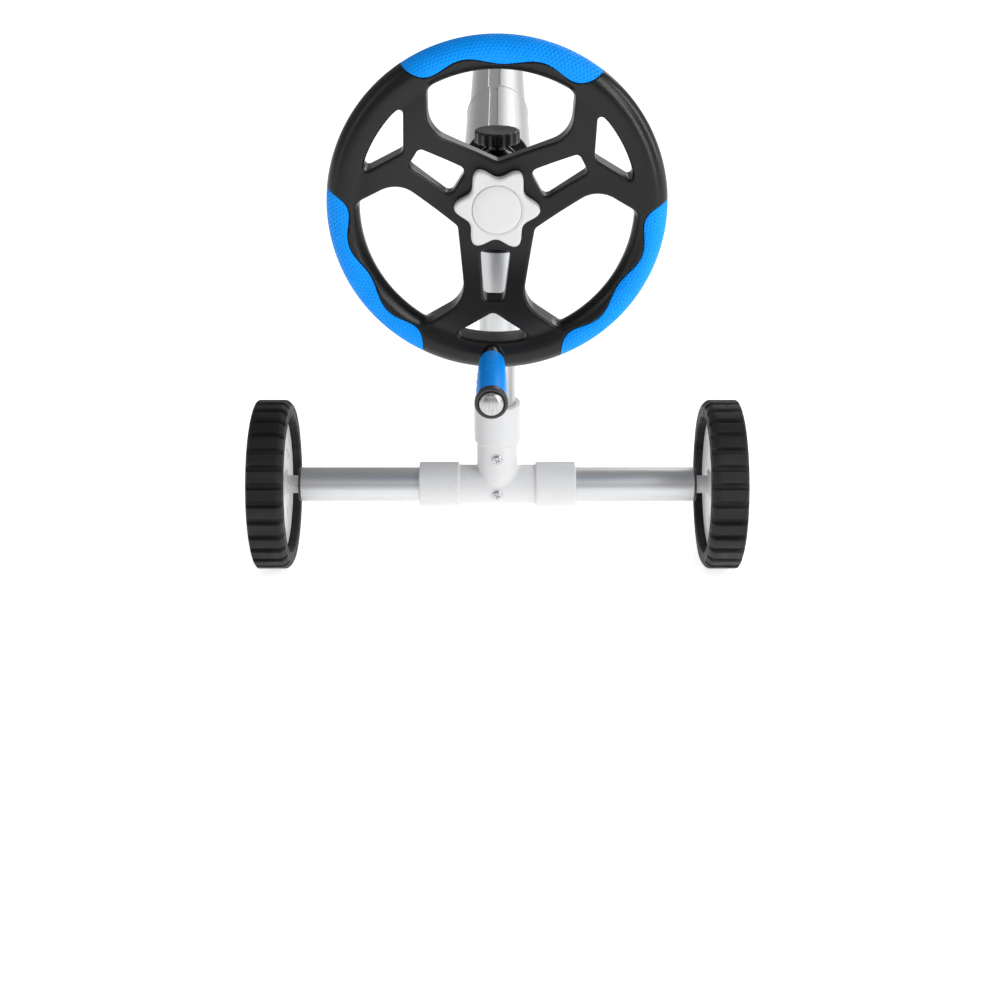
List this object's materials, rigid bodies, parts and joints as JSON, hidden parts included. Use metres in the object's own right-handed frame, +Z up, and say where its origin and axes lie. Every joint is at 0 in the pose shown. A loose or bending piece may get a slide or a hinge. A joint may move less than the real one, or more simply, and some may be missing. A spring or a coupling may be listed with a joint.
{
  "type": "pool cover reel",
  "caption": "Telescopic aluminium tube between two wheeled tee stands, turned by a three-spoke handwheel with soft grips, a star knob and a spinner handle, for rolling up a pool or spa cover.",
  "frame": {"origin": "on the floor, below the middle of the whole object's box", "axes": "+Y along the reel from the handwheel end to the far stand, +X across it, +Z up"},
  "size_m": [0.57, 2.6031, 0.6478],
  "materials": {
    "black_plastic": "satin moulded",
    "blue_grip": "soft, finely dimpled",
    "dark_plastic": "satin",
    "white_plastic": "light grey, semi-gloss",
    "aluminium": "satin anodised",
    "steel": "brushed",
    "tyre_rubber": "matt"
  },
  "bodies": {
    "front_stand": {"housing_front": "black_plastic", "bush_front": "white_plastic", "post_front": "aluminium", "cross_tube_front": "aluminium", "axle_front": "steel", "tee_front": "white_plastic", "tee_screw_front_upper": "steel", "tee_screw_front_lower": "steel", "tube_cap_front_left": "dark_plastic", "tube_cap_front_right": "dark_plastic"},
    "rear_stand": {"housing_rear": "black_plastic", "bush_rear": "white_plastic", "post_rear": "aluminium", "cross_tube_rear": "aluminium", "axle_rear": "steel", "tee_rear": "white_plastic", "tee_screw_rear_upper": "steel", "tee_screw_rear_lower": "steel", "tube_cap_rear_left": "dark_plastic", "tube_cap_rear_right": "dark_plastic"},
    "front_reel": {"handwheel": "black_plastic", "grip_top": "blue_grip", "grip_left": "blue_grip", "grip_right": "blue_grip", "handle_bolt": "steel", "shaft_front": "steel", "plug_front": "black_plastic", "sleeve_front": "aluminium", "inner_tube_front": "aluminium", "reel_screw_front": "steel"},
    "handle": {"handle_sleeve": "blue_grip", "handle_ring": "dark_plastic", "handle_cap": "steel"},
    "star_knob": {"star_knob": "white_plastic", "star_knob_cap": "white_plastic", "star_knob_stud": "steel"},
    "lock_knob": {"lock_knob": "black_plastic", "lock_stud": "steel"},
    "centre_tube": {"centre_tube": "aluminium", "ring_front": "dark_plastic", "ring_rear": "dark_plastic", "length_screw_front": "steel", "length_screw_rear": "steel"},
    "rear_reel": {"shaft_rear": "steel", "plug_rear": "black_plastic", "sleeve_rear": "aluminium", "inner_tube_rear": "aluminium", "reel_screw_rear": "steel"},
    "wheel_front_left": {"tyre_front_left": "tyre_rubber", "wheel_hub_front_left": "white_plastic", "wheel_cap_front_left": "white_plastic"},
    "wheel_front_right": {"tyre_front_right": "tyre_rubber", "wheel_hub_front_right": "white_plastic", "wheel_cap_front_right": "white_plastic"},
    "wheel_rear_left": {"tyre_rear_left": "tyre_rubber", "wheel_hub_rear_left": "white_plastic", "wheel_cap_rear_left": "white_plastic"},
    "wheel_rear_right": {"tyre_rear_right": "tyre_rubber", "wheel_hub_rear_right": "white_plastic", "wheel_cap_rear_right": "white_plastic"}
  },
  "joints": [
    {"name": "reel_turn", "type": "hinge", "parent": "front_stand", "child": "front_reel", "pos_m": [0, -1.0245, 0.474], "axis": [0, -1, 0], "continuous": true},
    {"name": "reel_length", "type": "slide", "parent": "front_stand", "child": "rear_stand", "axis": [0, 1, 0], "range_m": [-0.38, 0.36]},
    {"name": "centre_slide", "type": "slide", "parent": "front_reel", "child": "centre_tube", "axis": [0, 1, 0], "range_m": [-0.19, 0.18]},
    {"name": "rear_slide", "type": "slide", "parent": "centre_tube", "child": "rear_reel", "axis": [0, 1, 0], "range_m": [-0.19, 0.18]},
    {"name": "handle_spin", "type": "hinge", "parent": "front_reel", "child": "handle", "pos_m": [-0.00548, -1.1495, 0.3171], "axis": [0, -1, 0], "continuous": true},
    {"name": "star_knob_turn", "type": "hinge", "parent": "front_reel", "child": "star_knob", "pos_m": [0, -1.1495, 0.474], "axis": [0, -1, 0], "range_deg": [0, 720]},
    {"name": "lock_knob_turn", "type": "hinge", "parent": "front_stand", "child": "lock_knob", "pos_m": [0, -1.0245, 0.474], "axis": [0, 0, 1], "range_deg": [0, 720]},
    {"name": "wheel_front_left_roll", "type": "hinge", "parent": "front_stand", "child": "wheel_front_left", "pos_m": [0, -1.0245, 0.1], "axis": [1, 0, 0], "continuous": true},
    {"name": "wheel_front_right_roll", "type": "hinge", "parent": "front_stand", "child": "wheel_front_right", "pos_m": [0, -1.0245, 0.1], "axis": [1, 0, 0], "continuous": true},
    {"name": "wheel_rear_left_roll", "type": "hinge", "parent": "rear_stand", "child": "wheel_rear_left", "pos_m": [0, 1.2015, 0.1], "axis": [1, 0, 0], "continuous": true},
    {"name": "wheel_rear_right_roll", "type": "hinge", "parent": "rear_stand", "child": "wheel_rear_right", "pos_m": [0, 1.2015, 0.1], "axis": [1, 0, 0], "continuous": true}
  ],
  "couplings": [
    {"joint": "centre_slide", "follows": "reel_length", "ratio": 0.5},
    {"joint": "rear_slide", "follows": "reel_length", "ratio": 0.5}
  ]
}
